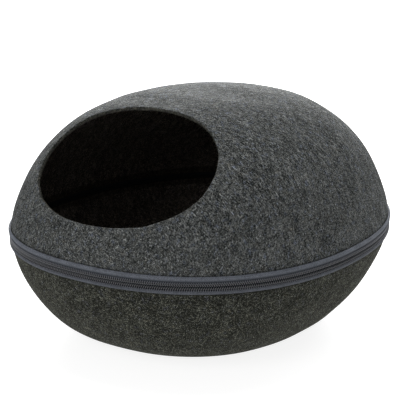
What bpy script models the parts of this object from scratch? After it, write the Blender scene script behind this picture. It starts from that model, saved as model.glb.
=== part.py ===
"""Felt cat cave: two moulded felt halves, joined by a zip that runs all the way round.

Every piece is placed under one empty at the middle of the seam. The entrance faces -Y.
"""

import math
from collections import namedtuple

import bmesh
import bpy
from mathutils import Vector

# Driving dimensions, in metres.
FELT = 0.004  # thickness of the moulded felt
CLEARANCE = 0.0003  # between pieces that touch
SEGMENTS = 72  # stations round the outline

# The outline at the seam, seen from above: an egg, fuller at the entrance end.
HALF_WIDTH = 0.1845
HALF_LENGTH = 0.2105
EGG_TAPER = 0.063  # how much wider the entrance end is, as a share
EGG_POWER = 2.2  # 2 is an ellipse, more is squarer

# Upper half. A higher rise power keeps the wall upright for longer,
# and a higher shoulder power makes the crown flatter.
DOME_HEIGHT = 0.141
DOME_RISE = 1.65
DOME_SHOULDER = 3.0
DOME_RINGS = 13

# Lower half, down to a flat base that lies a little nearer to the entrance end.
BOWL_DEPTH = 0.102
BOWL_RISE = 1.42
BOWL_SHOULDER = 2.35
BOWL_RINGS = 10
BASE_SHARE = 0.45  # size of the flat base as a share of the outline
BASE_SHIFT = -0.014
BASE_SHIFT_POWER = 1.5
BASE_RINGS = 2

# Entrance: an oval cut square to the felt, so its cutter narrows towards a point inside.
ENTRANCE_Y = -0.130
ENTRANCE_Z = 0.084  # above the seam
ENTRANCE_HALF_WIDTH = 0.096
ENTRANCE_HALF_HEIGHT = 0.071
ENTRANCE_POWER = 2.1
ENTRANCE_TAPER = -0.035  # narrower towards its top
ENTRANCE_TILT = math.radians(50)  # how far the oval leans back
ENTRANCE_REACH = 0.170  # from the oval's plane to the point
CUTTER_INNER = 0.4  # ends of the cutter, as shares of that reach
CUTTER_OUTER = 1.5
CUTTER_SEGMENTS = 64

# Zip. Offsets are measured out from the outline, heights up from the seam plane.
CHAIN_MIDDLE = -0.0008  # height of the line where the two coils meet
COIL_HEIGHT = 0.00315
COIL_DEPTH = 0.0026
COIL_PROUD = 0.0009  # the coil's outer face, out from the outline
COIL_POINTS = 8
DOME_EDGE = 0.0028  # heights of the felt edges beside the coils
BOWL_EDGE = -0.0044
BAND_PROUD = 0.0019  # the most that a tape stands out

TapePoint = namedtuple("TapePoint", "out height")  # in millimetres
UPPER_TAPE = (
    TapePoint(0.3, 2.8),
    TapePoint(0.9, 2.8),
    TapePoint(1.6, 3.8),
    TapePoint(1.9, 5.4),
    TapePoint(1.7, 7.2),
    TapePoint(1.0, 8.6),
    TapePoint(0.3, 9.2),
    TapePoint(-0.3, 9.2),
)
LOWER_TAPE = (
    TapePoint(-0.1, -4.4),
    TapePoint(-0.7, -8.2),
    TapePoint(0.0, -8.2),
    TapePoint(0.6, -7.5),
    TapePoint(1.0, -6.4),
    TapePoint(1.1, -5.2),
    TapePoint(0.8, -4.4),
)

# Slider and pull tab, at the back.
PLATE_LENGTH = 0.011
PLATE_WIDTH = 0.009
PLATE_THICKNESS = 0.0016
KEEL_LENGTH = 0.006
KEEL_WIDTH = 0.0044
BRIDGE_SPAN = 0.007  # between the middles of its legs
BRIDGE_ROOM = 0.0020  # between the plate and the bridge's bar
BRIDGE_WIDTH = 0.0020
LEG_LENGTH = 0.0014
BAR_THICKNESS = 0.0012
SLIDER_ROUNDING = 0.0003
SLIDER_ROUNDING_STEPS = 2
PULL_LENGTH = 0.024
PULL_WIDTH = 0.007
PULL_THICKNESS = 0.0012
PULL_EYE_LENGTH = 0.0046
PULL_EYE_WIDTH = 0.0040
PULL_BAR = 0.0022  # the bar at the end of the eye, which lies under the bridge
PULL_ROUNDING = 0.002
PULL_ROUNDING_STEPS = 4
PULL_DROOP = math.radians(10)

PLATE_INNER = BAND_PROUD + CLEARANCE
PLATE_OUTER = PLATE_INNER + PLATE_THICKNESS
SLIDER_PROUD = PLATE_OUTER + BRIDGE_ROOM + BAR_THICKNESS
BOOLEAN_OVERLAP = 0.0002

COLLECTION = "felt_cat_cave"
MM = 0.001

FELT_COLOUR = (0.052, 0.056, 0.055, 1)
TAPE_COLOUR = (0.085, 0.092, 0.115, 1)
COIL_COLOUR = (0.040, 0.042, 0.050, 1)
METAL_COLOUR = (0.090, 0.092, 0.100, 1)

Section = namedtuple("Section", "scale shift height")


def signed_power(value, exponent):
    return math.copysign(abs(value) ** exponent, value)


def superellipse(angle, half_x, half_y, power):
    """Point at an angle from -Y on an oval that is squarer than an ellipse."""
    x = half_x * signed_power(math.sin(angle), 2 / power)
    y = -half_y * signed_power(math.cos(angle), 2 / power)
    return x, y


def outline(angle):
    """Point of the egg at the seam, at an angle from the entrance end."""
    x, y = superellipse(angle, HALF_WIDTH, HALF_LENGTH, EGG_POWER)
    return Vector((x * (1 + EGG_TAPER * math.cos(angle)), y, 0))


def turns(edge, height, rise, rings):
    """Even steps of the wall's turn from its edge beside the zip to a quarter turn."""
    first = math.asin((edge / height) ** (rise / 2))
    return [first + (math.pi / 2 - first) * ring / rings for ring in range(rings + 1)]


def dome_sections():
    return [
        Section(
            math.cos(turn) ** (2 / DOME_SHOULDER),
            0,
            DOME_HEIGHT * math.sin(turn) ** (2 / DOME_RISE),
        )
        for turn in turns(DOME_EDGE, DOME_HEIGHT, DOME_RISE, DOME_RINGS)
    ]


def bowl_sections():
    """Sections of the wall, which ends level, and then of the flat base."""
    sections = []
    for turn in turns(-BOWL_EDGE, BOWL_DEPTH, BOWL_RISE, BOWL_RINGS):
        depth = math.sin(turn) ** (2 / BOWL_RISE)
        scale = BASE_SHARE + (1 - BASE_SHARE) * math.cos(turn) ** (2 / BOWL_SHOULDER)
        shift = BASE_SHIFT * depth**BASE_SHIFT_POWER
        sections.append(Section(scale, shift, -BOWL_DEPTH * depth))
    for ring in range(1, BASE_RINGS + 1):
        scale = BASE_SHARE * (1 - ring / BASE_RINGS)
        sections.append(Section(scale, BASE_SHIFT, -BOWL_DEPTH))
    return sections


def clear_scene():
    for obj in list(bpy.data.objects):
        bpy.data.objects.remove(obj, do_unlink=True)


def collection(name):
    made = bpy.data.collections.new(name)
    bpy.context.scene.collection.children.link(made)
    return made


def material(name, colour, roughness, metallic=0.0):
    made = bpy.data.materials.new(name)
    made.use_nodes = True
    shader = made.node_tree.nodes["Principled BSDF"]
    shader.inputs["Base Color"].default_value = colour
    shader.inputs["Roughness"].default_value = roughness
    shader.inputs["Metallic"].default_value = metallic
    return made


def mesh_object(name, bm, into, parent, finish=None):
    data = bpy.data.meshes.new(name)
    bm.to_mesh(data)
    bm.free()
    obj = bpy.data.objects.new(name, data)
    into.objects.link(obj)
    obj.parent = parent
    if finish:
        data.materials.append(finish)
    return obj


def as_helper(obj):
    """A cutter or a guide, which is no piece of the cave."""
    obj.hide_render = True
    obj.display_type = "WIRE"
    return obj


def boolean(obj, operation, operand):
    modifier = obj.modifiers.new(f"{operation.lower()} {operand.name}", "BOOLEAN")
    modifier.operation = operation
    modifier.solver = "EXACT"
    modifier.object = operand


def half_shell(name, sections, finish, into, parent):
    """A moulded half: the upper half of a sphere, reshaped section by section, with the felt inside it."""
    rings = len(sections) - 1
    bm = bmesh.new()
    bmesh.ops.create_uvsphere(bm, u_segments=SEGMENTS, v_segments=2 * rings, radius=1)
    lower = [vert for vert in bm.verts if vert.co.z < -0.5 / rings]
    bmesh.ops.delete(bm, geom=lower, context="VERTS")
    for vert in bm.verts:
        ring = round(math.asin(min(vert.co.z, 1)) / (math.pi / 2) * rings)
        section = sections[ring]
        point = outline(math.atan2(vert.co.x, -vert.co.y)) * section.scale
        vert.co = point + Vector((0, section.shift, section.height))
    if sections[-1].height < 0:
        bmesh.ops.reverse_faces(bm, faces=bm.faces)
    shell = mesh_object(name, bm, into, parent, finish)
    shell.data.shade_smooth()
    solidify = shell.modifiers.new("felt", "SOLIDIFY")
    solidify.thickness = FELT
    solidify.offset = -1
    solidify.use_even_offset = True
    return shell


def entrance_cutter(into, parent):
    """An oval frustum about the entrance, with its local Z pointing out of it."""
    bm = bmesh.new()
    bmesh.ops.create_cone(
        bm,
        cap_ends=True,
        segments=CUTTER_SEGMENTS,
        radius1=CUTTER_INNER,
        radius2=CUTTER_OUTER,
        depth=(CUTTER_OUTER - CUTTER_INNER) * ENTRANCE_REACH,
    )
    middle = (CUTTER_INNER + CUTTER_OUTER) / 2 - 1
    half_step = math.pi / CUTTER_SEGMENTS  # keeps its corners off the dome's middle line
    for vert in bm.verts:
        reach = math.hypot(vert.co.x, vert.co.y)
        angle = math.atan2(vert.co.x, -vert.co.y) + half_step
        x, y = superellipse(angle, ENTRANCE_HALF_WIDTH, ENTRANCE_HALF_HEIGHT, ENTRANCE_POWER)
        x *= 1 + ENTRANCE_TAPER * y / ENTRANCE_HALF_HEIGHT
        vert.co = (x * reach, y * reach, vert.co.z + middle * ENTRANCE_REACH)
    cutter = as_helper(mesh_object("entrance_cutter", bm, into, parent))
    cutter.location = (0, ENTRANCE_Y, ENTRANCE_Z)
    cutter.rotation_euler.x = math.pi / 2 - ENTRANCE_TILT
    return cutter


def poly_curve(name, points, into, parent):
    """A closed curve of straight runs through the points."""
    data = bpy.data.curves.new(name, "CURVE")
    data.dimensions = "3D"
    data.twist_mode = "Z_UP"
    spline = data.splines.new("POLY")
    spline.points.add(len(points) - 1)
    for point, place in zip(spline.points, points):
        point.co = (*place, 1)
    spline.use_cyclic_u = True
    obj = bpy.data.objects.new(name, data)
    into.objects.link(obj)
    obj.parent = parent
    return obj


def ring(name, profile, finish, into, guides, parent):
    """A closed ring: a flat profile of (out, height) points, anticlockwise, swept round the outline."""
    inside_out = [(*point, 0) for point in reversed(profile)]
    section = as_helper(poly_curve(f"{name}_section", inside_out, guides, parent))
    section.data.dimensions = "2D"
    angles = [2 * math.pi * step / SEGMENTS for step in range(SEGMENTS)]
    swept = poly_curve(name, [outline(angle) for angle in angles], into, parent)
    swept.data.bevel_mode = "OBJECT"
    swept.data.bevel_object = section
    swept.data.materials.append(finish)
    return swept


def coil_profile(side):
    """The coil's outer form, above or below the line where the two meet."""
    out = COIL_PROUD - COIL_DEPTH / 2
    height = CHAIN_MIDDLE + side * (CLEARANCE + COIL_HEIGHT) / 2
    steps = [2 * math.pi * (step + 0.5) / COIL_POINTS for step in range(COIL_POINTS)]
    reach = 1 / math.cos(math.pi / COIL_POINTS)
    return [
        (
            out + COIL_DEPTH / 2 * reach * math.cos(step),
            height + COIL_HEIGHT / 2 * reach * math.sin(step),
        )
        for step in steps
    ]


def tape_profile(table):
    return [(point.out * MM, point.height * MM) for point in table]


def block(name, low, high, into, parent, finish=None):
    """A box between two corners."""
    bm = bmesh.new()
    bmesh.ops.create_cube(bm, size=1)
    for vert in bm.verts:
        vert.co = [(a + b) / 2 + co * (b - a) for a, b, co in zip(low, high, vert.co)]
    return mesh_object(name, bm, into, parent, finish)


def rounding(obj, width, steps, limit_method):
    bevel = obj.modifiers.new("rounding", "BEVEL")
    bevel.width = width
    bevel.segments = steps
    bevel.limit_method = limit_method


def zip_slider(finish, into, cutters, parent):
    """Plate, keel towards the coils, and bridge. Local X runs along the seam and Y outwards."""
    slider = block(
        "zip_slider",
        (-PLATE_LENGTH / 2, PLATE_INNER, -PLATE_WIDTH / 2),
        (PLATE_LENGTH / 2, PLATE_OUTER, PLATE_WIDTH / 2),
        into,
        parent,
        finish,
    )
    keel = block(
        "keel",
        (-KEEL_LENGTH / 2, COIL_PROUD + CLEARANCE, -KEEL_WIDTH / 2),
        (KEEL_LENGTH / 2, PLATE_INNER + BOOLEAN_OVERLAP, KEEL_WIDTH / 2),
        cutters,
        parent,
    )
    boolean(slider, "UNION", as_helper(keel))
    half_span = (BRIDGE_SPAN + LEG_LENGTH) / 2
    bridge = block(
        "bridge",
        (-half_span, PLATE_OUTER - BOOLEAN_OVERLAP, -BRIDGE_WIDTH / 2),
        (half_span, SLIDER_PROUD, BRIDGE_WIDTH / 2),
        cutters,
        parent,
    )
    room = block(
        "bridge_room",
        (LEG_LENGTH - half_span, PLATE_OUTER, -BRIDGE_WIDTH),
        (half_span - LEG_LENGTH, PLATE_OUTER + BRIDGE_ROOM, BRIDGE_WIDTH),
        cutters,
        parent,
    )
    boolean(slider, "UNION", as_helper(bridge))
    boolean(slider, "DIFFERENCE", as_helper(room))
    rounding(slider, SLIDER_ROUNDING, SLIDER_ROUNDING_STEPS, "ANGLE")
    return slider


def zip_pull(finish, into, cutters, parent):
    """A tab whose eye holds one leg of the bridge. Its origin is in that leg."""
    leg = Vector((BRIDGE_SPAN / 2, 0, 0))
    bar_start = -leg.x - PULL_BAR / 2
    inner = PLATE_OUTER + CLEARANCE
    pull = block(
        "zip_pull",
        (bar_start, inner, -PULL_WIDTH / 2),
        (bar_start + PULL_LENGTH, inner + PULL_THICKNESS, PULL_WIDTH / 2),
        into,
        parent,
        finish,
    )
    eye_start = bar_start + PULL_BAR
    eye = block(
        "pull_eye",
        (eye_start, inner - PULL_THICKNESS, -PULL_EYE_WIDTH / 2),
        (eye_start + PULL_EYE_LENGTH, inner + 2 * PULL_THICKNESS, PULL_EYE_WIDTH / 2),
        cutters,
        parent,
    )
    as_helper(eye)
    for piece in (pull, eye):
        piece.location = piece.location + leg
        piece.rotation_euler.y = PULL_DROOP
    rounding(pull, PULL_ROUNDING, PULL_ROUNDING_STEPS, "WEIGHT")
    weights = pull.data.attributes.new("bevel_weight_edge", "FLOAT", "EDGE")
    for edge in pull.data.edges:
        start, end = (pull.data.vertices[index].co for index in edge.vertices)
        weights.data[edge.index].value = float(abs(end.y - start.y) > PULL_THICKNESS / 2)
    boolean(pull, "DIFFERENCE", eye)
    return pull


def main():
    clear_scene()
    parts = collection(COLLECTION)
    helpers = collection("cutters_and_guides")

    seam = bpy.data.objects.new("seam_middle", None)
    parts.objects.link(seam)
    seam.location = (0, (BAND_PROUD - SLIDER_PROUD) / 2, BOWL_DEPTH)

    felt = material("felt", FELT_COLOUR, 0.95)
    tape = material("zip_tape", TAPE_COLOUR, 0.85)
    nylon = material("zip_coil", COIL_COLOUR, 0.45)
    metal = material("zip_metal", METAL_COLOUR, 0.4, 0.9)

    dome = half_shell("dome", dome_sections(), felt, parts, seam)
    boolean(dome, "DIFFERENCE", entrance_cutter(helpers, seam))
    half_shell("bowl", bowl_sections(), felt, parts, seam)

    ring("tape_upper", tape_profile(UPPER_TAPE), tape, parts, helpers, seam)
    ring("tape_lower", tape_profile(LOWER_TAPE), tape, parts, helpers, seam)
    ring("coil_upper", coil_profile(1), nylon, parts, helpers, seam)
    ring("coil_lower", coil_profile(-1), nylon, parts, helpers, seam)

    back = bpy.data.objects.new("seam_back", None)
    parts.objects.link(back)
    back.parent = seam
    back.location = outline(math.pi) + Vector((0, 0, CHAIN_MIDDLE))
    zip_slider(metal, parts, helpers, back)
    zip_pull(metal, parts, helpers, back)


main()
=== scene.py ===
import math
import bmesh
import bpy
import numpy as np
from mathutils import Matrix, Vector


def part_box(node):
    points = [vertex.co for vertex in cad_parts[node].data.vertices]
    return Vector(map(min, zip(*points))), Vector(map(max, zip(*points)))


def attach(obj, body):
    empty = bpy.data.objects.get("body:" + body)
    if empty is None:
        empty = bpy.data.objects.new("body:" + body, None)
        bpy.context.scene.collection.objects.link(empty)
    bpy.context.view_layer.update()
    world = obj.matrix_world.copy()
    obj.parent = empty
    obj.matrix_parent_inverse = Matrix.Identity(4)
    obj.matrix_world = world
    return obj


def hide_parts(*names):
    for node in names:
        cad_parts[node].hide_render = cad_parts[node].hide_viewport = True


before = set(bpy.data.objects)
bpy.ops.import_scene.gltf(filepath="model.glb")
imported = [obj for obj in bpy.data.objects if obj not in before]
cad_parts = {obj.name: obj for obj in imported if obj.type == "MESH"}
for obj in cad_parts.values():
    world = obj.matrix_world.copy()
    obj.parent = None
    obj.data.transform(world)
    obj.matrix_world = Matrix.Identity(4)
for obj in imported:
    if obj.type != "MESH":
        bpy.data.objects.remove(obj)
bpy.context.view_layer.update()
mm = 0.001
print("frame loaded")

egg = {  # its outline at the zip
    "halfWidth": 0.1845,
    "halfLength": 0.2105,
    "power": 2.2,  # 2 is an ellipse, more is squarer
    "taper": 0.063,  # wider towards the entrance end
    "bowlDepth": 0.102,
    "measureSteps": 14400,  # how finely the way round is measured
    "seamSteps": 6000,
}
domeLow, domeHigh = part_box("dome")
bowlLow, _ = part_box("bowl")
seamPlace = np.array([0.0, (domeLow.y + domeHigh.y) / 2, bowlLow.z + egg["bowlDepth"]])


def signedPower(value, exponent):
    return np.sign(value) * np.abs(value) ** exponent


def eggOutline(angle):  # angle 0 is the entrance end
    exponent = 2 / egg["power"]
    x = egg["halfWidth"] * signedPower(np.sin(angle), exponent)
    y = -egg["halfLength"] * signedPower(np.cos(angle), exponent)
    return x * (1 + egg["taper"] * np.cos(angle)), y


def unitVectors(vectors):
    return vectors / np.linalg.norm(vectors, axis=-1, keepdims=True)


def evenOutline(count):  # stations at even steps along the seam, with their outward directions
    angles = np.linspace(0, 2 * np.pi, egg["measureSteps"] + 1)
    x, y = eggOutline(angles)
    travelled = np.concatenate([[0], np.cumsum(np.hypot(np.diff(x), np.diff(y)))])
    wanted = np.linspace(0, travelled[-1], count, endpoint=False)
    places = np.stack([np.interp(wanted, travelled, x), np.interp(wanted, travelled, y)], 1)
    ahead = np.roll(places, -1, 0) - np.roll(places, 1, 0)
    outward = unitVectors(np.stack([ahead[:, 1], -ahead[:, 0]], 1))
    return places, outward, travelled[-1]


seamPlaces, seamOutward, seamLength = evenOutline(egg["seamSteps"])


def waves(points, size, seed):  # soft, even unevenness from many slow waves, about 1 at most
    random = np.random.default_rng(seed)
    total = np.zeros(points.shape[:-1])
    count = 14
    shortest, longest = 0.7, 1.6  # wave lengths, as shares of the size
    for _ in range(count):
        direction = unitVectors(random.normal(size=3))
        length = size * random.uniform(shortest, longest)
        total += np.sin(points @ direction * 2 * np.pi / length + random.uniform(0, 2 * np.pi))
    return total / math.sqrt(count * 2)


def gridFaces(rows, stations, closeRows):
    row = np.arange(rows if closeRows else rows - 1)[:, None]
    station = np.arange(stations)[None, :]
    nextRow = (row + 1) % rows
    nextStation = (station + 1) % stations
    corners = [
        row * stations + station,
        row * stations + nextStation,
        nextRow * stations + nextStation,
        nextRow * stations + station,
    ]
    columns = [np.broadcast_to(corner, (len(row), stations)) for corner in corners]
    return np.stack(columns, -1).reshape(-1, 4)


def cappedFaces(rows, stations):  # the two end rows close on two more points
    faces = [list(face) for face in gridFaces(rows, stations, False)]
    last = (rows - 1) * stations
    for station in range(stations):
        follower = (station + 1) % stations
        faces.append([rows * stations, follower, station])
        faces.append([rows * stations + 1, last + station, last + follower])
    return faces


def meshPiece(name, points, faces):
    mesh = bpy.data.meshes.new(name)
    mesh.from_pydata(points.tolist(), [], [list(face) for face in faces])
    mesh.update()
    mesh.shade_smooth()
    piece = bpy.data.objects.new(name, mesh)
    bpy.context.scene.collection.objects.link(piece)
    return piece


def ringPiece(name, lattice):  # rows go round the section, stations round the seam
    rows, stations = lattice.shape[:2]
    return meshPiece(name, lattice.reshape(-1, 3), gridFaces(rows, stations, True))


class Signal:
    def __init__(self, look, socket):
        self.look = look
        self.socket = socket

    def math(self, operation, *others):
        return self.look.node("Math", {"operation": operation}, dict(enumerate([self, *others])))

    def __add__(self, other):
        return self.math("ADD", other)

    def __mul__(self, other):
        return self.math("MULTIPLY", other)

    def __sub__(self, other):
        return self.math("SUBTRACT", other)

    def __truediv__(self, other):
        return self.math("DIVIDE", other)

    def __rsub__(self, other):
        return self * -1 + other

    def __rtruediv__(self, other):
        return self.math("POWER", -1) * other

    __radd__ = __add__
    __rmul__ = __mul__

    def size(self):
        return self.math("ABSOLUTE")

    def clipped(self):
        return self.math("MAXIMUM", 0).math("MINIMUM", 1)


class Look:
    def __init__(self, name):
        self.material = bpy.data.materials.new(name)
        self.material.use_nodes = True
        self.tree = self.material.node_tree
        self.shader = self.tree.nodes["Principled BSDF"]

    def feed(self, socket, value):
        if isinstance(value, Signal):
            self.tree.links.new(value.socket, socket)
        else:
            socket.default_value = value

    def node(self, kind, settings, sockets, output=0):
        made = self.tree.nodes.new("ShaderNode" + kind)
        for setting, value in settings.items():
            setattr(made, setting, value)
        for socket, value in sockets.items():
            self.feed(made.inputs[socket], value)
        return Signal(self, made.outputs[output])

    def place(self):
        return self.node("TexCoord", {}, {}, "Object")

    def scaled(self, vector, scale):
        return self.node("VectorMath", {"operation": "MULTIPLY"}, {0: vector, 1: scale})

    def mixed(self, share, first, second):
        sockets = {0: share, 6: first, 7: second}
        return self.node("Mix", {"data_type": "RGBA"}, sockets, 2)

    def parts(self, vector):
        made = self.node("SeparateXYZ", {}, {0: vector})
        return [Signal(self, output) for output in made.socket.node.outputs]

    def joined(self, x, y, z):
        return self.node("CombineXYZ", {}, {0: x, 1: y, 2: z})

    def noise(self, vector, grain, detail=2.0, roughness=0.5, distortion=0.0, fourth=None):
        settings = {"noise_dimensions": "3D"}
        sockets = {
            "Vector": vector,
            "Scale": 1 / grain,  # grain is in metres
            "Detail": detail,
            "Roughness": roughness,
            "Distortion": distortion,
        }
        if fourth is not None:
            settings["noise_dimensions"] = "4D"
            sockets["W"] = fourth
        return self.node("TexNoise", settings, sockets, 0)

    def drawnOut(self, fibres, tone, key, detail, roughness, distortion=0.0):
        lying, aside = fibres
        along = 1 / tone[key + "Length"]  # the noise is this much longer along the fibres
        scale = (along, along, 1) if tone["upright"] else (along, 1, along)
        vector = self.scaled(lying, scale)
        return self.noise(vector, tone[key + "Grain"], detail, roughness, distortion, aside)

    def ramp(self, value, low, high):
        sockets = {"Value": value, "From Min": low, "From Max": high}
        return self.node("MapRange", {"interpolation_type": "SMOOTHSTEP"}, sockets, 0)

    def bumped(self, height, strength, distance):
        sockets = {"Height": height, "Strength": strength, "Distance": distance}
        self.set(Normal=self.node("Bump", {}, sockets))

    def set(self, **sockets):
        for socket, value in sockets.items():
            self.feed(self.shader.inputs[socket.replace("_", " ")], value)


fibre = {  # where the drawn-out marks fade in
    "baseFade": (0.04, 0.10),  # metres from the upright axis
    "domeFade": (0.3, 0.65),  # rise over the distance from the long axis
    "least": 0.001,  # keeps the division safe on the axis
}


# the fibres run round an axis: a place along them, its distance from the axis, and where they show
def fibreLie(look, place, upright):
    x, y, z = look.parts(place)
    rise = z - float(seamPlace[2])
    if upright:  # round the egg at one height
        across, axis, reach = look.joined(x, y, 0), look.joined(0, 0, rise), egg["halfLength"]
        aside = (x * x + y * y).math("SQRT")
        shown = look.ramp(aside, *fibre["baseFade"])
    else:  # over the egg's long axis
        across, axis, reach = look.joined(x, 0, rise), look.joined(0, y, 0), egg["halfWidth"]
        aside = (x * x + rise * rise).math("SQRT")
        shown = look.ramp(rise / (aside + fibre["least"]), *fibre["domeFade"])
    heading = look.node("VectorMath", {"operation": "NORMALIZE"}, {0: across})
    ringPlace = look.scaled(heading, (reach,) * 3)
    lying = look.node("VectorMath", {"operation": "ADD"}, {0: ringPlace, 1: axis})
    return (lying, aside), shown


def feltLook(name, tone):
    look = Look(name)
    place = look.place()
    paleStrand, darkStrand = 0, 1
    for number in range(tone["strandLayers"]):  # straight fibres, each layer lying its own way
        lie = tuple(start + step * number for start, step in tone["strandTurns"])
        sockets = {"Vector": place, "Rotation": lie, "Scale": (tone["strandLength"], 1, 1)}
        along = look.node("Mapping", {"vector_type": "TEXTURE"}, sockets)
        field = look.noise(along, tone["strandGrain"], 1.0, 0.5, 0.25)
        paleStrand = field.math("MAXIMUM", paleStrand)
        darkStrand = field.math("MINIMUM", darkStrand)
    strand = look.ramp(paleStrand, *tone["paleFrom"])
    dark = look.ramp(darkStrand, *tone["darkFrom"])
    sockets = {"Vector": place, "Rotation": (0, 0, tone["turned"]), "Scale": (1, 1, 1)}
    turned = look.node("Mapping", {"vector_type": "TEXTURE"}, sockets)
    fibres, shown = fibreLie(look, turned, tone["upright"])
    speckle = look.drawnOut(fibres, tone, "speckle", 2.0, 0.7)
    streak = look.drawnOut(fibres, tone, "draw", 2.0, 0.6, 0.3)
    longStreak = look.drawnOut(fibres, tone, "long", 1.0, 0.5, 0.2)
    patch = look.drawnOut(fibres, tone, "patch", 2.0, 0.5, 0.5)
    cloud = look.drawnOut(fibres, tone, "cloud", 2.0, 0.5)
    broad = look.noise(place, tone["broadGrain"], 1.0, 0.5)
    light = (
        (speckle - 0.5) * tone["speckleShare"]
        + (strand - tone["paleMiddle"]) * tone["paleShare"]
        + (dark - tone["darkMiddle"]) * tone["darkShare"]
        + (streak - 0.5) * shown * tone["drawShare"]
        + look.ramp(longStreak, *tone["longFrom"]) * shown * tone["longShare"]
        + (cloud - 0.5) * tone["cloudShare"]
        + (patch - 0.5) * tone["patchShare"]
        + (broad - 0.5) * tone["broadShare"]
        + tone["middle"]
    ).clipped()
    hue = look.noise(place, tone["hueGrain"], 2.0, 0.6)
    pale = look.mixed(look.ramp(hue, *tone["coolFrom"]), tone["pale"], tone["paleCool"])
    pale = look.mixed(look.ramp(hue, *tone["warmFrom"]), pale, tone["paleWarm"])
    colour = look.mixed(light, tone["dark"], pale)
    height = (look.parts(place)[2] - float(seamPlace[2])).size()
    # painted shade: a band of felt beside the tapes is mixed toward the dark tone, standing in for
    # the tapes' shadow
    paintedTapeShade = 1 - look.ramp(height, *tone["paintedTapeShadeBand"])
    colour = look.mixed(paintedTapeShade * tone["paintedTapeShadeStrength"], colour, tone["dark"])
    raised = speckle * 0.5 + streak * 0.4 + (strand + dark) * 0.35 + cloud * tone["cloudHeight"]
    look.bumped(raised, tone["bump"], tone["relief"])
    look.set(Base_Color=colour, Roughness=0.95, Specular_IOR_Level=tone["gloss"])
    look.set(Sheen_Weight=tone["sheen"], Sheen_Roughness=0.45, Sheen_Tint=tone["sheenTint"])
    return look.material


dome = {
    "height": 0.141,
    "rise": 1.65,
    "shoulder": 3.0,
    "zipEdge": 0.0028,  # felt edge above the seam plane
    "lowShare": 0.2,  # the wall's table starts below that edge, at this share of its turn
    "tableSteps": 4000,
    "felt": 0.004,
    "stations": 520,
    "outerRows": 104,
    "innerRows": 36,
    "rowPower": 1.15,  # rows lie closer together beside the rim
    "lipRows": 13,
    "lipOuterRows": 3,  # how many of them keep the outer felt's look
    "lipReach": 0.0016,  # how far the cut edge's rounding reaches back
    "lipPower": 2.7,
    "seamReach": 0.0008,
    "seamRows": 5,
    "seamPower": 0.7,
    "raySamples": 400,
    "lumps": 0.00045,
    "lumpSize": 0.055,
    "lumpSeed": 3,
    "calmHeight": 0.02,  # the lumps grow over this height above the zip
    "lipWobble": 0.0005,
    "wobbleSize": 0.03,
    "wobbleSeed": 5,
    "wobbleFade": 0.006,
}
entrance = {
    "centre": (0.0, -0.130, 0.084),
    "halfWidth": 0.096,
    "halfHeight": 0.071,
    "power": 2.1,
    "taper": -0.035,
    "tilt": math.radians(50),
    "reach": 0.170,
    "chartMiddle": (0, -0.48),  # a point inside it on the dome's chart
    "chartReach": 0.49,  # a way from there that is past its rim
    "halvings": 36,
}


def wallLength(scale, height):  # the way travelled down a wall of this outline
    across = np.diff(scale) * (egg["halfWidth"] + egg["halfLength"]) / 2
    return np.concatenate([[0], np.cumsum(np.hypot(across, np.diff(height)))])


def domeTable():  # scale and height along the wall, with its length from the crown as a share
    edgeTurn = math.asin((dome["zipEdge"] / dome["height"]) ** (dome["rise"] / 2))
    lowTurn = edgeTurn * dome["lowShare"]
    run = np.linspace(1, 0, dome["tableSteps"])
    turn = math.pi / 2 - (math.pi / 2 - lowTurn) * run ** 3
    scale = np.cos(turn) ** (2 / dome["shoulder"])
    scale[-1] = 0
    height = dome["height"] * np.sin(turn) ** (2 / dome["rise"])
    length = wallLength(scale, height)
    share = (length[-1] - length) / (length[-1] - np.interp(edgeTurn, turn, length))
    return share[::-1], scale[::-1], height[::-1]


domeShare, domeScale, domeHeight = domeTable()


def domePoints(chart):  # the chart is a plan of the wall: the crown at 0, the zip edge at 1
    share = np.hypot(chart[..., 0], chart[..., 1])
    x, y = eggOutline(np.arctan2(chart[..., 0], -chart[..., 1]))
    scale = np.interp(share, domeShare, domeScale)
    return np.stack([x * scale, y * scale, np.interp(share, domeShare, domeHeight)], -1)


def domeNormals(chart):
    step = 0.002
    across = domePoints(chart + [step, 0]) - domePoints(chart - [step, 0])
    along = domePoints(chart + [0, step]) - domePoints(chart - [0, step])
    return unitVectors(np.cross(across, along))


def insideEntrance(points):  # true inside the cone that cuts the opening
    tilt = entrance["tilt"]
    away = points - np.array(entrance["centre"])
    right = away[..., 0]
    up = away[..., 1] * math.sin(tilt) + away[..., 2] * math.cos(tilt)
    out = away[..., 2] * math.sin(tilt) - away[..., 1] * math.cos(tilt)
    grow = 1 + out / entrance["reach"]
    high = up / grow / entrance["halfHeight"]
    wide = right / grow / entrance["halfWidth"] / (1 + entrance["taper"] * high)
    return np.abs(wide) ** entrance["power"] + np.abs(high) ** entrance["power"] < 1


def domeRays():  # straight lines in the chart from the opening's rim to the zip edge
    start = np.array(entrance["chartMiddle"])
    angle = np.linspace(0, 2 * np.pi, dome["stations"], endpoint=False)
    heading = np.stack([np.sin(angle), -np.cos(angle)], -1)
    near = np.zeros(len(angle))
    far = np.full(len(angle), entrance["chartReach"])
    for _ in range(entrance["halvings"]):
        middle = (near + far) / 2
        inside = insideEntrance(domePoints(start + heading * middle[:, None]))
        near = np.where(inside, middle, near)
        far = np.where(inside, far, middle)
    forward = heading @ start
    edge = -forward + np.sqrt(forward ** 2 - start @ start + 1)
    return start, heading, near, edge


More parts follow.
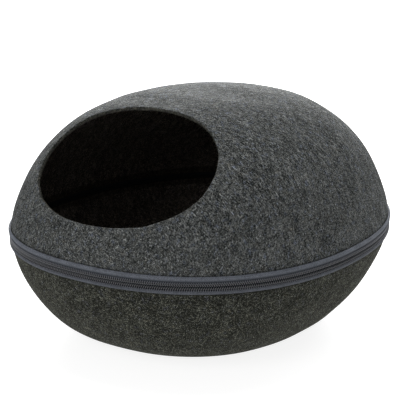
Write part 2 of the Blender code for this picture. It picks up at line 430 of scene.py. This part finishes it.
def feltSection(lip, seam, felt):  # metres from the rim, share of the whole way, depth
    section = []
    for share in np.linspace(0, 1, dome["outerRows"]) ** dome["rowPower"]:
        section.append((lip * (1 - share) - seam * share, share, 0))
    for turn in np.linspace(0, np.pi, dome["seamRows"] + 2)[1:-1]:
        across = math.sin(turn) ** dome["seamPower"]
        section.append((-seam * (1 - across), 1, felt / 2 * (1 - math.cos(turn))))
    for share in np.linspace(1, 0, dome["innerRows"]) ** dome["rowPower"]:
        section.append((lip * (1 - share) - seam * share, share, felt))
    exponent = 2 / dome["lipPower"]
    for turn in np.linspace(np.pi, 0, dome["lipRows"] + 2)[1:-1]:
        across = math.sin(turn) ** exponent
        depth = felt / 2 * (1 - float(signedPower(math.cos(turn), exponent)))
        section.append((lip * (1 - across), 0, depth))
    return np.array(section)


def domeLattice():
    start, heading, near, edge = domeRays()
    section = feltSection(dome["lipReach"], dome["seamReach"], dome["felt"])[::-1]
    shares = np.linspace(0, 1, dome["raySamples"])[None, :]
    samples = near[:, None] + (edge - near)[:, None] * shares
    line = domePoints(start + heading[:, None, :] * samples[..., None])
    steps = np.linalg.norm(np.diff(line, axis=1), axis=-1)
    travelled = np.concatenate([np.zeros((len(near), 1)), np.cumsum(steps, 1)], 1)
    rim = line[:, 0]
    wobble = dome["lipWobble"] * waves(rim, dome["wobbleSize"], dome["wobbleSeed"])
    chart = np.zeros((len(section), len(near), 2))
    for station in range(len(near)):
        whole = travelled[station, -1]
        distance = section[:, 0] + section[:, 1] * whole
        distance = distance + wobble[station] * np.exp(-distance / dome["wobbleFade"])
        reached = np.interp(distance, travelled[station], samples[station])
        chart[:, station] = start + heading[station] * reached[:, None]
    points = domePoints(chart)
    normals = domeNormals(chart)
    above = points[..., 2] - dome["zipEdge"]
    calm = np.clip(above / dome["calmHeight"], 0, 1)  # true beside the zip
    lift = dome["lumps"] * waves(points, dome["lumpSize"], dome["lumpSeed"]) * calm
    return points + normals * (lift - section[:, 2][:, None])[..., None]


feltTone = {
    "dark": (0.012, 0.0135, 0.0128, 1),
    "pale": (0.360, 0.373, 0.366, 1),
    "paleWarm": (0.38, 0.36, 0.315, 1),
    "paleCool": (0.335, 0.375, 0.47, 1),
    "coolFrom": (0.54, 0.70),
    "warmFrom": (0.42, 0.26),
    "strandLayers": 5,
    "strandTurns": ((0.9, 2.3), (0.4, 1.7), (0.0, 1.1)),  # the first layer's turn, and each step
    "strandLength": 5.5,  # how many times longer than thick a fibre's mark is
    "strandGrain": 0.0008,
    "paleFrom": (0.64, 0.76),
    "paleMiddle": 0.2,
    "paleShare": 0.55,
    "darkFrom": (0.24, 0.48),
    "darkMiddle": 0.5,
    "darkShare": 0.12,
    "upright": False,
    "turned": math.radians(15),
    "drawLength": 7.0,
    "drawGrain": 0.0011,
    "drawShare": 1.0,
    "longLength": 14.0,
    "longGrain": 0.0011,
    "longFrom": (0.64, 0.78),
    "longShare": 0.9,
    "speckleLength": 1.4,
    "speckleGrain": 0.00095,
    "speckleShare": 1.6,
    "cloudLength": 2.0,
    "cloudGrain": 0.003,
    "cloudShare": 0.38,
    "patchLength": 3.0,
    "patchGrain": 0.006,
    "patchShare": 0.35,
    "broadGrain": 0.05,
    "broadShare": 0.1,
    "middle": 0.186,
    "hueGrain": 0.0045,
    "paintedTapeShadeBand": (0.0086, 0.0112),  # painted shade: the felt is painted darker right beside the tapes, standing in for their shadow
    "paintedTapeShadeStrength": 0.6,
    "bump": 0.5,
    "relief": 0.0011,
    "cloudHeight": 0.9,
    "gloss": 0.03,
    "sheen": 0.0,
    "sheenTint": (0.8, 0.82, 0.82, 1),
}
# painted light: the inside is the same felt as the outside, given lighter and warmer tones that
# stand in for light filling the cavity
insidePaintedTone = dict(feltTone)
insidePaintedTone.update(dark=(0.024, 0.020, 0.017, 1), pale=(0.56, 0.50, 0.43, 1))
insidePaintedTone.update(paleWarm=(0.60, 0.49, 0.39, 1), paleCool=(0.53, 0.50, 0.49, 1))
insidePaintedFelt = feltLook("inside felt painted lighter", insidePaintedTone)
cutTone = dict(feltTone)
cutTone.update(pale=(0.20, 0.188, 0.156, 1), paleWarm=(0.216, 0.188, 0.144, 1))
cutTone.update(paleCool=(0.20, 0.192, 0.176, 1))


def finishRows(piece, stations, finishes):  # each is (first row, end row, finish)
    chosen = np.zeros(len(piece.data.polygons), int)
    for first, last, finish in finishes:
        chosen[first * stations:last * stations] = finish
    piece.data.polygons.foreach_set("material_index", chosen)


domePiece = ringPiece("felt_dome", domeLattice() + seamPlace)
domePiece.data.materials.append(feltLook("upper felt", feltTone))
# the inside felt carries painted light
domePiece.data.materials.append(insidePaintedFelt)
domePiece.data.materials.append(feltLook("cut felt", cutTone))
insidePaintedNumber, cutNumber = 1, 2  # which material; 0 is the outer felt
lipStart, lipEnd = dome["lipOuterRows"], dome["lipRows"]
finishes = [(lipStart, lipEnd, cutNumber), (lipEnd, lipEnd + dome["innerRows"], insidePaintedNumber)]
finishRows(domePiece, dome["stations"], finishes)
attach(domePiece, "root")
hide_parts("dome")
print("upper half done", len(domePiece.data.polygons) * 2)

bowl = {
    "depth": egg["bowlDepth"],
    "rise": 1.42,
    "shoulder": 2.35,
    "zipEdge": 0.0044,
    "baseShare": 0.45,
    "baseShift": -0.014,
    "shiftPower": 1.5,
    "wallSteps": 3000,
    "baseSteps": 800,
    "wayLength": 0.26,  # metres, about, from the zip edge to the middle of the base
    "lastRow": 0.985,  # the rows stop at this share of the way
    "felt": 0.004,
    "stations": 440,
    "outerRows": 96,
    "innerRows": 40,
    "seamRows": 5,
    "seamReach": 0.0008,
    "seamPower": 0.7,
    "lumps": 0.00045,
    "lumpSize": 0.055,
    "lumpSeed": 9,
    "calmHeight": 0.02,  # the lumps fade over this height at the base and beside the zip
    "angleStep": 0.004,  # the steps that find the wall's direction
    "wayStep": 0.002,
    "lastWay": 0.995,
}


def bowlTable():  # scale, shift and depth from the zip edge down to the middle of the base
    edgeTurn = math.asin((bowl["zipEdge"] / bowl["depth"]) ** (bowl["rise"] / 2))
    run = np.linspace(1, 0, bowl["wallSteps"])
    turn = math.pi / 2 - (math.pi / 2 - edgeTurn) * run ** 2
    drop = np.sin(turn) ** (2 / bowl["rise"])
    scale = bowl["baseShare"] + (1 - bowl["baseShare"]) * np.cos(turn) ** (2 / bowl["shoulder"])
    scale[-1] = bowl["baseShare"]
    base = np.linspace(bowl["baseShare"], 0, bowl["baseSteps"])[1:]
    scale = np.concatenate([scale, base])
    drop = np.concatenate([drop, np.ones(len(base))])
    height = -bowl["depth"] * drop
    shift = bowl["baseShift"] * drop ** bowl["shiftPower"]
    length = wallLength(scale, height)
    return length / length[-1], scale, shift, height


bowlWay, bowlScale, bowlShift, bowlHeight = bowlTable()


def bowlPoints(angle, way):  # way 0 is the zip edge, 1 the middle of the base
    x, y = eggOutline(angle)
    scale = np.interp(way, bowlWay, bowlScale)
    y = y * scale + np.interp(way, bowlWay, bowlShift)
    return np.stack([x * scale, y, np.interp(way, bowlWay, bowlHeight)], -1)


def bowlPiece():
    felt, reach = bowl["felt"], bowl["seamReach"] / bowl["wayLength"]
    run = reach + (bowl["lastRow"] - reach) * np.linspace(1, 0, bowl["outerRows"])
    section = [(way, 0) for way in run]
    for turn in np.linspace(0, np.pi, bowl["seamRows"] + 2)[1:-1]:
        across = math.sin(turn) ** bowl["seamPower"]
        section.append((reach * (1 - across), felt / 2 * (1 - math.cos(turn))))
    run = reach + (bowl["lastRow"] - reach) * np.linspace(0, 1, bowl["innerRows"])
    section += [(way, felt) for way in run]
    way = np.array(section)[:, 0][:, None]
    depth = np.array(section)[:, 1][:, None, None]
    angle = np.linspace(0, 2 * np.pi, bowl["stations"], endpoint=False)[None, :]
    way, angle = np.broadcast_arrays(way, angle)
    points = bowlPoints(angle, way)
    turned, moved = bowl["angleStep"], bowl["wayStep"]
    aside = bowlPoints(angle + turned, way) - bowlPoints(angle - turned, way)
    before, after = np.maximum(way - moved, 0), np.minimum(way + moved, bowl["lastWay"])
    down = bowlPoints(angle, after) - bowlPoints(angle, before)
    normals = unitVectors(np.cross(down, aside))
    raised = points[..., 2] + bowl["depth"]
    below = bowl["depth"] - bowl["zipEdge"] - raised
    fade = bowl["calmHeight"]
    calm = np.clip(raised / fade, 0, 1) * np.clip(below / fade, 0, 1)
    lift = bowl["lumps"] * waves(points, bowl["lumpSize"], bowl["lumpSeed"]) * calm
    points = points + normals * (lift[..., None] - depth) + seamPlace
    middle = np.array([0, bowl["baseShift"], -bowl["depth"]]) + seamPlace
    spots = np.concatenate([points.reshape(-1, 3), [middle, middle + [0, 0, felt]]])
    return meshPiece("felt_bowl", spots, cappedFaces(*points.shape[:2]))


bowlTone = dict(feltTone)
bowlTone.update(upright=True, drawShare=0.15, longShare=0.2, patchShare=0.45, middle=0.122)
bowlTone.update(sheen=0.055, sheenTint=(0.84, 0.82, 0.70, 1))
bowlTone.update(speckleLength=1.0, cloudLength=1.0, patchLength=1.2)
bowlTone.update(speckleGrain=0.0010, strandGrain=0.00085, patchGrain=0.010, paleShare=0.75)
bowlTone.update(dark=(0.0085, 0.0090, 0.0074, 1), pale=(0.218, 0.225, 0.186, 1))
bowlTone.update(paleWarm=(0.246, 0.223, 0.167, 1), paleCool=(0.213, 0.223, 0.246, 1))
bowlFelt = bowlPiece()
bowlFelt.data.materials.append(feltLook("lower felt", bowlTone))
bowlFelt.data.materials.append(insidePaintedFelt)
insideStart = bowl["outerRows"] + bowl["seamRows"]
finishes = [(insideStart, insideStart + bowl["innerRows"], insidePaintedNumber)]
finishRows(bowlFelt, bowl["stations"], finishes)
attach(bowlFelt, "root")
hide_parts("bowl")
print("lower half done", len(bowlFelt.data.polygons) * 2)

tape = {
    "stations": 640,
    "upper": [  # (out, height) in mm: over the felt, in under its edge, then down behind the coil
        (0.25, 2.58), (0.30, 3.5), (0.6, 4.3), (1.15, 5.1), (1.75, 6.1), (2.1, 7.1),
        (1.95, 8.1), (1.2, 9.0), (0.35, 9.4), (-0.3, 9.4), (0.1, 2.76), (-2.0, 2.76),
        (-2.2, 2.5), (-2.2, -1.3), (-1.8, -1.3), (-1.8, 2.4), (-1.6, 2.58),
    ],
    "lower": [
        (1.15, -5.0), (0.3, -4.4), (0.0, -4.18), (-2.3, -4.18), (-2.3, -0.3), (-2.7, -0.3),
        (-2.7, -4.36), (-0.1, -4.36), (-0.8, -8.1), (0.0, -8.2), (0.7, -7.6), (1.15, -6.5),
    ],
    "rounding": 0.0004,
    "cornerShare": 0.42,  # the most of a side that one rounding takes
    "wobble": 0.00002,
    "wobbleSize": 0.02,
    "rib": 0.0014,
    "ribLean": 0.8,
    "threadGrain": 0.00045,
    "threadLength": 0.25,  # along the seam, as a share: the threads are this much drawn out
    "clothGrain": 0.0009,
    "broadGrain": 0.012,
    "shares": {"ribs": 0.16, "threads": 0.8, "grain": 1.3, "broad": 0.4},
    "paintedShadeFloor": 0.06,  # painted shade: how much of the colour is left beside and behind the coil
    "pale": (0.168, 0.181, 0.213),
    "dark": (0.016, 0.019, 0.024),
}


def roundedProfile(profile, radius, steps=3):  # each corner becomes a short curve
    corners = np.array(profile) * mm
    outline = []
    for number, corner in enumerate(corners):
        legs = [corners[number - 1] - corner, corners[(number + 1) % len(corners)] - corner]
        reach = [min(radius / np.linalg.norm(leg), tape["cornerShare"]) for leg in legs]
        start, end = corner + legs[0] * reach[0], corner + legs[1] * reach[1]
        for share in np.linspace(0, 1, steps):
            before = start + (corner - start) * share
            after = corner + (end - corner) * share
            outline.append(before + (after - before) * share)
    return np.array(outline)


def bandLattice(profile, stations, seed):
    places, outward, _ = evenOutline(stations)
    flat = np.concatenate([places, np.zeros((stations, 1))], 1)
    sway = waves(flat, tape["wobbleSize"], seed) * tape["wobble"]
    out = profile[:, 0][:, None] + np.zeros(stations)[None, :]
    spots = np.zeros((len(profile), stations, 3))
    spots[..., :2] = places[None] + outward[None] * out[..., None]
    spots[..., 2] = profile[:, 1][:, None] + sway[None, :]
    return spots


def tapeLook(name, shade, shadeFadeFrom):
    look = Look(name)
    place = look.place()
    x, y, z = look.parts(place)
    along = x.math("ARCTAN2", y * -1) * egg["halfWidth"]
    ribs = ((along + z * tape["ribLean"]) * (2 * math.pi / tape["rib"])).math("SINE")
    aside = (x * x + y * y).math("SQRT")
    drawn = look.joined(along * tape["threadLength"], z, aside)
    threads = look.noise(drawn, tape["threadGrain"], 1.0, 0.5)
    grain = look.noise(place, tape["clothGrain"], 2.0, 0.6)
    broad = look.noise(place, tape["broadGrain"], 2.0, 0.5)
    clear = look.ramp((z - float(seamPlace[2])).size(), *shadeFadeFrom)  # painted shade: darker towards the coil and on the web behind it, where the coil shades the tape
    shares = tape["shares"]
    light = (
        ribs * shares["ribs"]
        + (threads - 0.5) * shares["threads"]
        + (grain - 0.5) * shares["grain"]
        + (broad - 0.5) * shares["broad"]
        + 0.5
    )
    # painted shade: the cloth's colour is darkened towards the coil
    light = light.clipped() * (clear * (1 - tape["paintedShadeFloor"]) + tape["paintedShadeFloor"])
    pale = tuple(channel * shade for channel in tape["pale"]) + (1,)
    dark = tuple(channel * shade for channel in tape["dark"]) + (1,)
    look.bumped(ribs * 0.3 + threads * 0.6 + grain * 0.4, 0.6, 0.0003)
    look.set(Base_Color=look.mixed(light, dark, pale), Roughness=0.8, Specular_IOR_Level=0.2)
    return look.material


tapeSides = {  # painted shade of each tape (the lower tape is the same cloth, painted darker), where its painted shade beside the coil fades out, seed
    "upper": (1.08, (0.0036, 0.0078), 21),
    "lower": (0.71, (0.0043, 0.0049), 22),
}
for side, (shade, shadeFadeFrom, seed) in tapeSides.items():
    profile = roundedProfile(tape[side], tape["rounding"])
    lattice = bandLattice(profile, tape["stations"], seed)
    piece = ringPiece("tape_band_" + side, lattice + seamPlace)
    piece.data.materials.append(tapeLook("zip tape " + side, shade, shadeFadeFrom))
    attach(piece, "root")
    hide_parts("tape_" + side)
print("tapes done")

coil = {
    "pitch": 0.0022,
    "wire": 0.00037,  # radius of the filament
    "halfDepth": 0.0013,
    "halfHeight": 0.0014,
    "out": -0.0004,
    "heights": {"upper": 0.000925, "lower": -0.002525},
    "hand": {"upper": -1, "lower": 1},  # the two coils wind opposite ways
    "turnSteps": 12,
    "wireSides": 6,
    "coreStations": 600,
    "coreSides": 8,
}


def seamFrames(travel):  # places and outward directions at distances along the seam
    count = egg["seamSteps"]
    at = np.mod(travel / seamLength, 1) * count
    low = np.floor(at).astype(int) % count
    share = (at - np.floor(at))[:, None]
    high = (low + 1) % count
    spot = seamPlaces[low] * (1 - share) + seamPlaces[high] * share
    direction = unitVectors(seamOutward[low] * (1 - share) + seamOutward[high] * share)
    return spot, direction


def coilPiece(side, phase):
    turns = round(seamLength / coil["pitch"])
    steps = turns * coil["turnSteps"]
    run = np.arange(steps) / steps
    angle = coil["hand"][side] * run * turns * 2 * np.pi + phase
    spot, direction = seamFrames(run * seamLength)
    deep = coil["halfDepth"] - coil["wire"]
    tall = coil["halfHeight"] - coil["wire"]
    path = np.zeros((steps, 3))
    path[:, :2] = spot + direction * (coil["out"] + deep * np.cos(angle))[:, None]
    path[:, 2] = coil["heights"][side] + tall * np.sin(angle)
    ahead = unitVectors(np.roll(path, -1, 0) - np.roll(path, 1, 0))
    middle = path.copy()
    middle[:, :2] = spot + direction * coil["out"]
    middle[:, 2] = coil["heights"][side]
    radial = path - middle
    radial = unitVectors(radial - ahead * (radial * ahead).sum(1)[:, None])
    across = np.cross(ahead, radial)
    lattice = np.zeros((coil["wireSides"], steps, 3))
    for number in range(coil["wireSides"]):
        turn = -2 * np.pi * number / coil["wireSides"]
        lattice[number] = path + coil["wire"] * (radial * math.cos(turn) + across * math.sin(turn))
    faces = gridFaces(coil["wireSides"], steps, True)
    places, outward, _ = evenOutline(coil["coreStations"])
    core = np.zeros((coil["coreSides"], coil["coreStations"], 3))
    for number in range(coil["coreSides"]):
        turn = 2 * np.pi * number / coil["coreSides"]
        out = coil["out"] + (deep - coil["wire"]) * math.cos(turn)
        core[number, :, :2] = places + outward * out
        core[number, :, 2] = coil["heights"][side] + (tall - coil["wire"]) * math.sin(turn)
    coreFaces = gridFaces(coil["coreSides"], coil["coreStations"], True) + len(lattice) * steps
    points = np.concatenate([lattice.reshape(-1, 3), core.reshape(-1, 3)]) + seamPlace
    piece = meshPiece("teeth_" + side, points, np.concatenate([faces, coreFaces]))
    finishes = np.concatenate([np.zeros(len(faces), int), np.ones(len(coreFaces), int)])
    piece.data.materials.append(coilFinish)
    piece.data.materials.append(coreShadeFinish)
    piece.data.polygons.foreach_set("material_index", finishes)
    return piece


def plainLook(name, colour, roughness, metallic=0.0, unevenness=0.2):
    look = Look(name)
    wear = look.noise(look.place(), 0.004, 2.0, 0.6)
    low = tuple(c * (1 - unevenness) for c in colour) + (1,)
    high = tuple(c * (1 + unevenness) for c in colour) + (1,)
    look.set(Base_Color=look.mixed(wear, low, high), Roughness=wear * 0.15 + roughness)
    look.set(Metallic=metallic)
    return look.material


coilFinish = plainLook("zip coil", (0.135, 0.139, 0.150), 0.28)
# the coil's filler core is real, but its near-black colour is painted shade that darkens the gaps
# between the turns
coreShadeFinish = plainLook("zip coil core, painted shade", (0.004, 0.004, 0.005), 0.8)
for side, phase in (("upper", 0.0), ("lower", math.pi)):
    piece = coilPiece(side, phase)
    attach(piece, "root")
    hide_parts("coil_" + side)

stitch = {
    "phase": 0.25,  # of a turn, where on the coil it sits
    "run": 0.0004,  # how far each stitch leans along the seam
    "radius": 0.00034,
    "sides": 6,
    "rings": 6,
    "ends": {  # (out, height) in mm
        "upper": ((0.85, 2.1), (0.75, 3.7)),
        "lower": ((0.75, -3.6), (0.6, -4.7)),
    },
    "arch": 0.0003,
    "thin": (0.8, 6),  # how much its ends thin, and how late
    "colour": (0.155, 0.16, 0.18),
}


def stitchPiece(side):  # one stitch to each turn of the coil
    count = round(seamLength / coil["pitch"])
    middle = (np.arange(count) + stitch["phase"]) / count * seamLength
    share = np.linspace(0, 1, stitch["rings"])
    travel = middle[:, None] - coil["hand"][side] * (share[None, :] - 0.5) * stitch["run"]
    spot, direction = seamFrames(travel.reshape(-1))
    first, last = np.array(stitch["ends"][side]) * mm
    out = first[0] + (last[0] - first[0]) * share + stitch["arch"] * np.sin(share * np.pi)
    path = np.zeros((count * len(share), 3))
    path[:, :2] = spot + direction * np.tile(out, count)[:, None]
    path[:, 2] = np.tile(first[1] + (last[1] - first[1]) * share, count)
    path = path.reshape(count, len(share), 3)
    ahead = unitVectors(np.gradient(path, axis=1))
    outward = np.concatenate([direction, np.zeros((len(direction), 1))], 1).reshape(path.shape)
    radial = unitVectors(outward - ahead * (outward * ahead).sum(-1, keepdims=True))
    across = np.cross(ahead, radial)
    thin, late = stitch["thin"]
    thick = stitch["radius"] * np.sqrt(1 - thin * (share * 2 - 1) ** late)[None, :, None]
    rings = []
    for number in range(stitch["sides"]):
        turn = 2 * np.pi * number / stitch["sides"]
        rings.append(path + thick * (radial * math.cos(turn) + across * math.sin(turn)))
    points = np.stack(rings, 2).reshape(-1, 3)  # stitch, ring along it, side
    sides, length = stitch["sides"], len(share)
    faces = []
    for number in range(count):
        start = number * length * sides
        for ring in range(length - 1):
            for edge in range(sides):
                a = start + ring * sides + edge
                b = start + ring * sides + (edge + 1) % sides
                faces.append([a, b, b + sides, a + sides])
        faces.append([start + edge for edge in reversed(range(sides))])
        faces.append([start + (length - 1) * sides + edge for edge in range(sides)])
    return meshPiece("stitches_" + side, points + seamPlace, faces)


stitchFinish = plainLook("zip thread", stitch["colour"], 0.7)
for side in ("upper", "lower"):
    piece = stitchPiece(side)
    piece.data.materials.append(stitchFinish)
    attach(piece, "root")

sliderLow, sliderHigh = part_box("zip_slider")
pullLow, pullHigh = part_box("zip_pull")
slider = {
    "middle": np.array([0, 0, (sliderLow.z + sliderHigh.z) / 2]),
    "keelInner": sliderLow.y,
    "plateOuter": sliderHigh.y - 0.0032,
    "plateThick": 0.0016,
    "plateSize": (0.0055, 0.0044),  # half length along the seam, half height
    "plateTaper": 0.16,
    "keelSize": (0.003, 0.0021),
    "keelSink": 0.0003,
    "edge": 0.0005,
    "edgeRows": 13,
    "squareness": 0.6,  # 1 is an ellipse, less is squarer
    "endInset": 0.0003,
    "stations": 72,
    "bridgeHalf": 0.0035,
    "bridgeRise": 0.0026,
    "bridgeSquareness": 0.5,
    "bridgeSteps": 41,
    "bridgeSides": 24,
    "bridgeSink": 0.0004,
    "bridgeSection": (0.0006, 0.001),
}
endTurn = 1.5  # of an edge's rows, only the first and the last turn further
pull = {
    "pivot": slider["middle"] + [0.0035, (pullLow.y + pullHigh.y) / 2, 0],
    "length": 0.024,
    "halfWidth": 0.0035,
    "halfThick": 0.0006,
    "start": -0.0046,
    "corner": 0.0022,
    "cornerSteps": 24,
    "eye": (-0.0001, 0.0023, 0.002),  # its middle along the tab, half length, half width
    "eyePower": 5,
    "edge": 0.0004,
    "edgeRows": 9,
    "endInset": 0.0002,
    "droop": math.radians(10),
    "stations": 160,
}


def cappedPiece(name, lattice):  # closes the first and last rows with a fan to their middles
    ends = [lattice[0].mean(0), lattice[-1].mean(0)]
    spots = np.concatenate([lattice.reshape(-1, 3), ends])
    return meshPiece(name, spots, cappedFaces(*lattice.shape[:2]))


# a plate with rounded edges, facing out from the seam
def slabPiece(name, size, taper, inner, outer):
    turn = np.linspace(0, 2 * np.pi, slider["stations"], endpoint=False)
    square = slider["squareness"]
    x = size[0] * signedPower(np.cos(turn), square)
    z = size[1] * signedPower(np.sin(turn), square) * (1 + taper * np.cos(turn))
    rows = []
    edge, half = slider["edge"], (outer - inner) / 2
    for rise in np.linspace(-math.pi / 2, math.pi / 2, slider["edgeRows"]):
        inset = slider["endInset"] if abs(rise) > endTurn else 0
        back = edge * (1 - math.cos(rise)) + inset
        shrink = 1 - back / size[1]
        level = inner + half + math.copysign(half - edge, rise) + edge * math.sin(rise)
        rows.append(np.stack([x * shrink, np.full(len(x), level), z * shrink], -1))
    return cappedPiece(name, np.array(rows)[::-1] + slider["middle"])


def bridgePiece():  # a bowed bar whose ends are sunk in the plate
    turn = np.linspace(0, math.pi, slider["bridgeSteps"])
    bow = slider["bridgeSquareness"]
    x = slider["bridgeHalf"] * signedPower(np.cos(turn), bow)
    y = slider["plateOuter"] + slider["bridgeRise"] * signedPower(np.sin(turn), bow)
    path = np.stack([x, y, np.zeros(len(x))], 1)
    sunk = [0, slider["bridgeSink"], 0]
    path = np.concatenate([path[:1] - sunk, path, path[-1:] - sunk])
    ahead = unitVectors(np.gradient(path, axis=0))
    outward = np.stack([ahead[:, 1], -ahead[:, 0], np.zeros(len(ahead))], 1)
    around = np.linspace(0, 2 * np.pi, slider["bridgeSides"], endpoint=False)
    thick, wide = slider["bridgeSection"]
    square = slider["squareness"]
    reach = thick * signedPower(np.cos(around), square)
    points = path[:, None] + outward[:, None] * reach[None, :, None]
    points[..., 2] += (wide * signedPower(np.sin(around), square))[None, :]
    return cappedPiece("bridge", points + slider["middle"])


def united(name, *shapes):
    for shape in shapes[1:]:
        join = shapes[0].modifiers.new("join", "BOOLEAN")
        join.operation = "UNION"
        join.solver = "EXACT"
        join.object = shape
    bpy.context.view_layer.update()
    graph = bpy.context.evaluated_depsgraph_get()
    mesh = bpy.data.meshes.new_from_object(shapes[0].evaluated_get(graph))
    welded = bmesh.new()
    welded.from_mesh(mesh)
    bmesh.ops.remove_doubles(welded, verts=welded.verts, dist=0.001 * mm)
    welded.to_mesh(mesh)
    welded.free()
    for shape in shapes:
        bpy.data.objects.remove(shape)
    piece = bpy.data.objects.new(name, mesh)
    bpy.context.scene.collection.objects.link(piece)
    return piece


def pullPiece():
    corner = pull["corner"]
    near, far = pull["start"] + corner, pull["start"] + pull["length"] - corner
    side = pull["halfWidth"] - corner
    outline = []
    for first, middle in enumerate([(far, side), (near, side), (near, -side), (far, -side)]):
        for turn in np.linspace(first, first + 1, pull["cornerSteps"]) * math.pi / 2:
            around = corner * math.cos(turn), corner * math.sin(turn)
            outline.append((middle[0] + around[0], middle[1] + around[1]))
    outline = np.array(outline + outline[:1])
    legs = np.linalg.norm(np.diff(outline, axis=0), axis=1)
    travelled = np.concatenate([[0], np.cumsum(legs)])
    wanted = np.linspace(0, travelled[-1], pull["stations"], endpoint=False)
    outer = np.stack([np.interp(wanted, travelled, outline[:, column]) for column in (0, 1)], 1)
    eyeMiddle = np.array([pull["eye"][0], 0])
    heading = unitVectors(outer - eyeMiddle)
    power = pull["eyePower"]
    reach = (np.abs(heading / np.array(pull["eye"][1:])) ** power).sum(1) ** (-1 / power)
    inner = eyeMiddle + heading * reach[:, None]
    width = np.linalg.norm(outer - inner, axis=1)[:, None]
    edge, thick = pull["edge"], pull["halfThick"]
    rows = []
    for start, side in ((outer, 1), (inner, -1)):
        for rise in np.linspace(-math.pi / 2, math.pi / 2, pull["edgeRows"]) * side:
            inset = pull["endInset"] if abs(rise) > endTurn else 0
            back = edge * (1 - math.cos(rise)) + inset
            flat = start + (inner - outer) * side * back / width
            level = math.copysign(thick - edge, rise) + edge * math.sin(rise)
            rows.append(np.stack([flat[:, 0], np.full(len(flat), level), flat[:, 1]], -1))
    lattice = np.array(rows)[::-1]
    droop = pull["droop"]
    along, down = lattice[..., 0].copy(), lattice[..., 2].copy()
    lattice[..., 0] = along * math.cos(droop) + down * math.sin(droop)
    lattice[..., 2] = down * math.cos(droop) - along * math.sin(droop)
    return ringPiece("pull_tab", lattice + pull["pivot"])


outer = slider["plateOuter"]
inner = outer - slider["plateThick"]
plate = slabPiece("plate", slider["plateSize"], slider["plateTaper"], inner, outer)
keelOuter = inner + slider["keelSink"]
keel = slabPiece("keel", slider["keelSize"], 0, slider["keelInner"], keelOuter)
sliderPiece = united("slider_body", plate, keel, bridgePiece())
metalFinish = plainLook("zip slider", (0.090, 0.092, 0.100), 0.35, 0.6)
for piece, node in ((sliderPiece, "zip_slider"), (pullPiece(), "zip_pull")):
    piece.data.materials.clear()
    piece.data.materials.append(metalFinish)
    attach(piece, "root")
    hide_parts(node)
print("slider and pull done", len(sliderPiece.data.polygons))

# each cloth's size laid flat, which is an estimate, and what holds it

studio = {
    "floorSize": 40,
    "floor": 0.35,
    "glow": 0.86,
    "world": 0.32,
    "lens": 139.75,
    "azimuth": 35.1,
    "elevation": 16.58,
    "distance": 1.65,
    "shift": (-0.0178, 0.0552),
    "sensor": 36,
    "aim": (0, 0, 0.1),  # what the lamps point at
}
lamps = {  # azimuth, elevation and distance from the middle, then size and power
    "front_left": (-5, 30, 2.2, 1.2, 10.5),
    "back_high": (215, 76, 2.2, 1.2, 33.0),
    "back_low": (215, 12, 2.2, 1.2, 138.0),
    "back_right": (180, 25, 2.2, 1.2, 21.5),
}


def bearing(azimuth, elevation):  # azimuth 0 is the entrance's side, 90 the right
    turn, rise = math.radians(azimuth), math.radians(elevation)
    level = math.cos(rise)
    return Vector((math.sin(turn) * level, -math.cos(turn) * level, math.sin(rise)))


bpy.ops.mesh.primitive_plane_add(size=studio["floorSize"], location=(0, 0, 0))
floor = bpy.context.object
floor.name = "studio_floor"
floorLook = Look("studio floor")
floorLook.set(Base_Color=(studio["floor"],) * 3 + (1,), Roughness=0.9)
floorLook.set(Emission_Color=(1, 1, 1, 1), Emission_Strength=studio["glow"])
floor.data.materials.append(floorLook.material)

world = bpy.data.worlds.new("studio")
world.use_nodes = True
world.node_tree.nodes["Background"].inputs["Color"].default_value = (1, 1, 1, 1)
world.node_tree.nodes["Background"].inputs["Strength"].default_value = studio["world"]
bpy.context.scene.world = world

for name, (azimuth, elevation, distance, size, power) in lamps.items():
    lampData = bpy.data.lights.new(name, "AREA")
    lampData.shape = "DISK"
    lampData.size = size
    lampData.energy = power
    lamp = bpy.data.objects.new(name, lampData)
    away = bearing(azimuth, elevation)
    lamp.location = Vector(studio["aim"]) + away * distance
    lamp.rotation_mode = "QUATERNION"
    lamp.rotation_quaternion = away.to_track_quat("Z", "Y")
    bpy.context.scene.collection.objects.link(lamp)

cameraData = bpy.data.cameras.new("camera")
cameraData.lens = studio["lens"]
cameraData.sensor_width = studio["sensor"]
cameraData.shift_x, cameraData.shift_y = studio["shift"]
camera = bpy.data.objects.new("camera", cameraData)
back = bearing(studio["azimuth"], studio["elevation"])
camera.location = Vector(seamPlace) + back * studio["distance"]
camera.rotation_mode = "QUATERNION"
camera.rotation_quaternion = (-back).to_track_quat("-Z", "Y")
bpy.context.scene.collection.objects.link(camera)
bpy.context.scene.camera = camera
bpy.context.scene.view_settings.view_transform = "Standard"
print("studio done")

bpy.context.view_layer.update()
